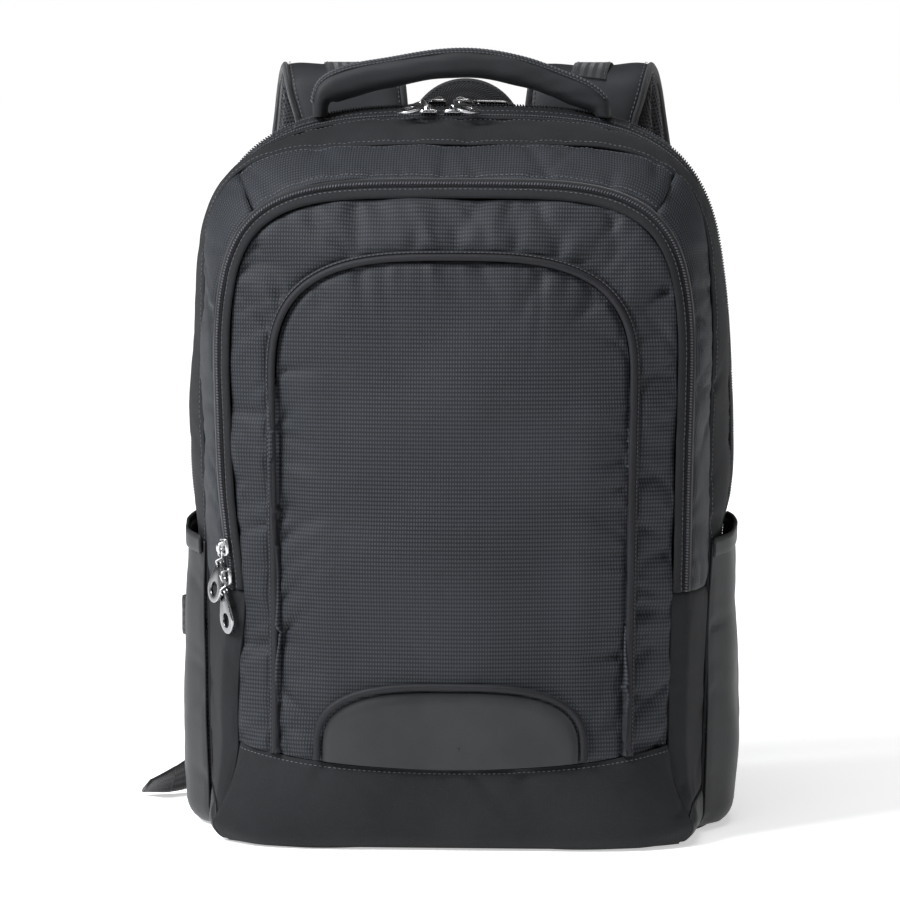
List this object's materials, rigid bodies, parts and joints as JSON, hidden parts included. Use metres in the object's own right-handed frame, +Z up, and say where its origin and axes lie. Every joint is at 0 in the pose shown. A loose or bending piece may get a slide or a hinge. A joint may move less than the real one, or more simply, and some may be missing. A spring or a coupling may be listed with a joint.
{
  "type": "laptop backpack",
  "caption": "Soft laptop backpack with zipped compartments, arched front pocket, open side pockets, padded grab handle, webbing haul loop and padded shoulder straps.",
  "frame": {"origin": "On the floor under the bag, at the middle of its width, on the lower face of base_panel", "axes": "+Z up; -Y is the front with the pocket, +Y the back with the shoulder straps; +X to the right seen from the front"},
  "size_m": [0.3791, 0.2549, 0.4746],
  "materials": {
    "ripstop": "dark grey nylon with a fine raised dot grid, soft sheen",
    "oxford": "plain charcoal oxford cloth, matt",
    "leatherette": "smooth coated cloth with fine grain and a soft sheen",
    "piping_cloth": "bias-cut nylon over cord, matt",
    "webbing": "black ribbed nylon webbing",
    "air_mesh": "black spacer mesh",
    "zip_coil": "black nylon coil on woven tape",
    "metal": "dark nickel, satin with bright worn edges",
    "plastic": "black moulded plastic, satin"
  },
  "bodies": {
    "root": {"laptop_gusset": "oxford", "top_strip": "oxford", "main_gusset": "oxford", "side_wedge_left": "oxford", "side_wedge_right": "oxford", "zip_facing": "oxford", "boot": "oxford", "base_panel": "oxford", "back_panel": "oxford", "pocket_gusset_left": "ripstop", "pocket_gusset_right": "ripstop", "pocket_gusset_top": "ripstop", "front_band": "ripstop", "front_panel": "ripstop", "grab_handle": "ripstop", "shoulder_strap_left": "ripstop", "shoulder_strap_right": "ripstop", "pocket_corner_left": "leatherette", "pocket_corner_right": "leatherette", "patch": "leatherette", "side_pocket_left": "leatherette", "side_pocket_right": "leatherette", "pocket_hem_left": "leatherette", "pocket_hem_right": "leatherette", "front_piping": "piping_cloth", "patch_piping": "piping_cloth", "haul_loop": "webbing", "strap_tape_left": "webbing", "strap_tape_right": "webbing", "strap_webbing_left": "webbing", "strap_webbing_right": "webbing", "back_pad": "air_mesh", "strap_mesh_left": "air_mesh", "strap_mesh_right": "air_mesh", "laptop_zip": "zip_coil", "main_zip": "zip_coil", "pocket_zip": "zip_coil", "slider_main_left": "metal", "link_main_left": "metal", "pull_main_left": "metal", "slider_main_right": "metal", "link_main_right": "metal", "pull_main_right": "metal", "slider_laptop_left": "metal", "link_laptop_left": "metal", "pull_laptop_left": "metal", "slider_laptop_right": "metal", "link_laptop_right": "metal", "pull_laptop_right": "metal", "slider_pocket_upper": "metal", "link_pocket_upper": "metal", "pull_pocket_upper": "metal", "slider_pocket_lower": "metal", "link_pocket_lower": "metal", "pull_pocket_lower": "metal", "ladder_lock_left": "plastic", "ladder_lock_right": "plastic"}
  },
  "joints": []
}
